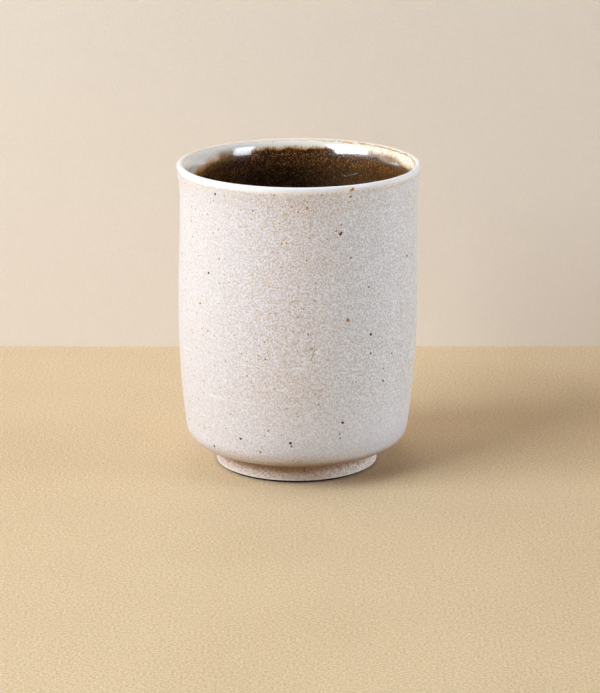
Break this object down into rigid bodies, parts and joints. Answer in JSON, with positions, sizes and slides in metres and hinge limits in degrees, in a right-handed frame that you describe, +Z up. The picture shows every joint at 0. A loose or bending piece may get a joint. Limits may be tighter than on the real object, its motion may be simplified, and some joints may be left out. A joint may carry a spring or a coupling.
{
  "type": "yunomi tea cup",
  "caption": "Tall round tea cup without a handle, with a soft rounded lip, near-straight sides, a turned foot ring, and separate outer, lip, liner and foot coats.",
  "frame": {"origin": "middle of the foot's resting ring, on the surface that the cup stands on", "axes": "+Z up along the cup's axis of revolution, from the foot to the lip; X and Y are alike"},
  "size_m": [0.0712, 0.0712, 0.09],
  "materials": {
    "stoneware": "matte",
    "pale_glaze": "satin",
    "iron_glaze": "gloss",
    "white_glaze": "gloss",
    "foot_wash": "matte"
  },
  "bodies": {
    "root": {"clay_body": "stoneware", "outer_glaze": "pale_glaze", "liner_glaze": "iron_glaze", "lip_glaze": "white_glaze", "foot_wash": "foot_wash"}
  },
  "joints": []
}
